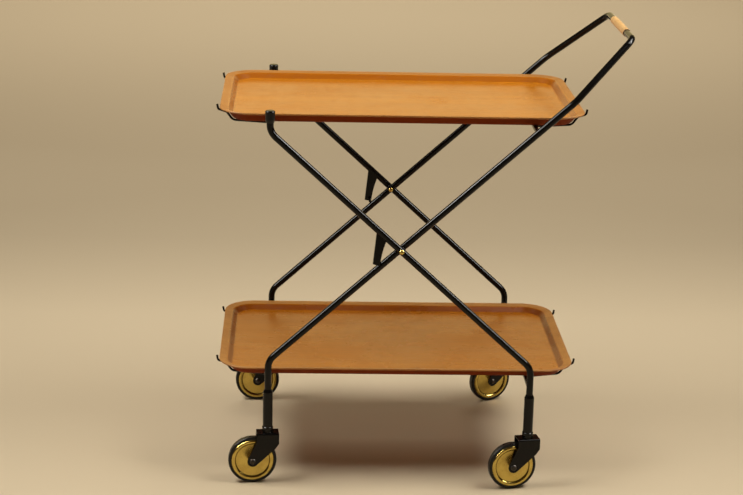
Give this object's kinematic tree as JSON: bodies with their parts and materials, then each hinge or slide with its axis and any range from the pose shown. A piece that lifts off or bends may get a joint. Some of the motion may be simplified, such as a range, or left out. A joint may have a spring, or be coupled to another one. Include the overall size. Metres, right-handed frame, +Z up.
{
  "type": "folding tray trolley",
  "caption": "Folding serving trolley: crossed black tube frames on swivel castors, a pull handle with wooden grip, and moulded teak trays that lift off wire hooks.",
  "frame": {"origin": "on the floor, at the centre of the trolley's box", "axes": "+X along the trolley to the pull handle, +Y to the back, +Z up"},
  "size_m": [0.677, 0.4641, 0.7488],
  "materials": {
    "black_lacquer": "gloss black lacquer",
    "cap_plastic": "gloss black",
    "teak_veneer": "satin lacquered teak veneer",
    "grip_wood": "pale lacquered turned wood",
    "brass": "lacquered pressed brass",
    "tyre_rubber": "matt black rubber",
    "steel": "plain turned steel"
  },
  "bodies": {
    "handle_frame": {"handle_tube_front": "black_lacquer", "handle_tube_back": "black_lacquer", "handle_grip": "grip_wood", "grip_dowel": "steel", "pivot_rivet_front": "brass", "pivot_rivet_back": "brass", "pivot_washer_front": "steel", "pivot_washer_back": "steel", "upper_tray_rail_right": "black_lacquer", "lower_tray_rail_left": "black_lacquer", "upper_hook_right_front": "black_lacquer", "upper_hook_right_back": "black_lacquer", "lower_hook_left_front": "black_lacquer", "lower_hook_left_back": "black_lacquer", "castor_socket_left_front": "black_lacquer", "castor_socket_left_back": "black_lacquer"},
    "leg_frame": {"leg_tube_front": "black_lacquer", "leg_tube_back": "black_lacquer", "leg_cap_front": "cap_plastic", "leg_cap_back": "cap_plastic", "stop_plate_front": "black_lacquer", "stop_plate_back": "black_lacquer", "upper_tray_rail_left": "black_lacquer", "lower_tray_rail_right": "black_lacquer", "upper_hook_left_front": "black_lacquer", "upper_hook_left_back": "black_lacquer", "lower_hook_right_front": "black_lacquer", "lower_hook_right_back": "black_lacquer", "castor_socket_right_front": "black_lacquer", "castor_socket_right_back": "black_lacquer"},
    "upper_tray": {"upper_tray": "teak_veneer"},
    "lower_tray": {"lower_tray": "teak_veneer"},
    "castor_left_front": {"castor_fork_left_front": "black_lacquer", "castor_stem_left_front": "steel", "castor_axle_left_front": "steel"},
    "wheel_left_front": {"wheel_bush_left_front": "steel", "wheel_disc_front_left_front": "brass", "wheel_disc_back_left_front": "brass", "wheel_tyre_left_front": "tyre_rubber"},
    "castor_left_back": {"castor_fork_left_back": "black_lacquer", "castor_stem_left_back": "steel", "castor_axle_left_back": "steel"},
    "wheel_left_back": {"wheel_bush_left_back": "steel", "wheel_disc_front_left_back": "brass", "wheel_disc_back_left_back": "brass", "wheel_tyre_left_back": "tyre_rubber"},
    "castor_right_front": {"castor_fork_right_front": "black_lacquer", "castor_stem_right_front": "steel", "castor_axle_right_front": "steel"},
    "wheel_right_front": {"wheel_bush_right_front": "steel", "wheel_disc_front_right_front": "brass", "wheel_disc_back_right_front": "brass", "wheel_tyre_right_front": "tyre_rubber"},
    "castor_right_back": {"castor_fork_right_back": "black_lacquer", "castor_stem_right_back": "steel", "castor_axle_right_back": "steel"},
    "wheel_right_back": {"wheel_bush_right_back": "steel", "wheel_disc_front_right_back": "brass", "wheel_disc_back_right_back": "brass", "wheel_tyre_right_back": "tyre_rubber"}
  },
  "joints": [
    {"name": "frame_fold", "type": "hinge", "parent": "handle_frame", "child": "leg_frame", "pos_m": [-0.03682, 0, 0.406], "axis": [0, 1, 0], "range_deg": [0, 40]},
    {"name": "upper_tray_lift", "type": "slide", "parent": "handle_frame", "child": "upper_tray", "axis": [0, 0, 1], "range_m": [0, 0.84]},
    {"name": "lower_tray_lift", "type": "slide", "parent": "handle_frame", "child": "lower_tray", "axis": [0, 0, 1], "range_m": [0, 0.35]},
    {"name": "castor_swivel_left_front", "type": "hinge", "parent": "handle_frame", "child": "castor_left_front", "pos_m": [-0.25032, -0.196, 0.09], "axis": [0, 0, 1], "continuous": true},
    {"name": "wheel_spin_left_front", "type": "hinge", "parent": "castor_left_front", "child": "wheel_left_front", "pos_m": [-0.27522, -0.19818, 0.04], "axis": [-0.0872, 0.9962, 0], "continuous": true},
    {"name": "castor_swivel_left_back", "type": "hinge", "parent": "handle_frame", "child": "castor_left_back", "pos_m": [-0.25032, 0.196, 0.09], "axis": [0, 0, 1], "continuous": true},
    {"name": "wheel_spin_left_back", "type": "hinge", "parent": "castor_left_back", "child": "wheel_left_back", "pos_m": [-0.27525, 0.19426, 0.04], "axis": [-0.0698, 0.9976, 0], "continuous": true},
    {"name": "castor_swivel_right_front", "type": "hinge", "parent": "leg_frame", "child": "castor_right_front", "pos_m": [0.18069, -0.212, 0.09], "axis": [0, 0, 1], "continuous": true},
    {"name": "wheel_spin_right_front", "type": "hinge", "parent": "castor_right_front", "child": "wheel_right_front", "pos_m": [0.15607, -0.21634, 0.04], "axis": [-0.1736, 0.9848, 0], "continuous": true},
    {"name": "castor_swivel_right_back", "type": "hinge", "parent": "leg_frame", "child": "castor_right_back", "pos_m": [0.18069, 0.212, 0.09], "axis": [0, 0, 1], "continuous": true},
    {"name": "wheel_spin_right_back", "type": "hinge", "parent": "castor_right_back", "child": "wheel_right_back", "pos_m": [0.15785, 0.20183, 0.04], "axis": [-0.4067, 0.9135, 0], "continuous": true}
  ],
  "couplings": [
    {"joint": "upper_tray_lift", "follows": "frame_fold", "m_per_rad": 1.2},
    {"joint": "lower_tray_lift", "follows": "frame_fold", "m_per_rad": 0.5}
  ]
}
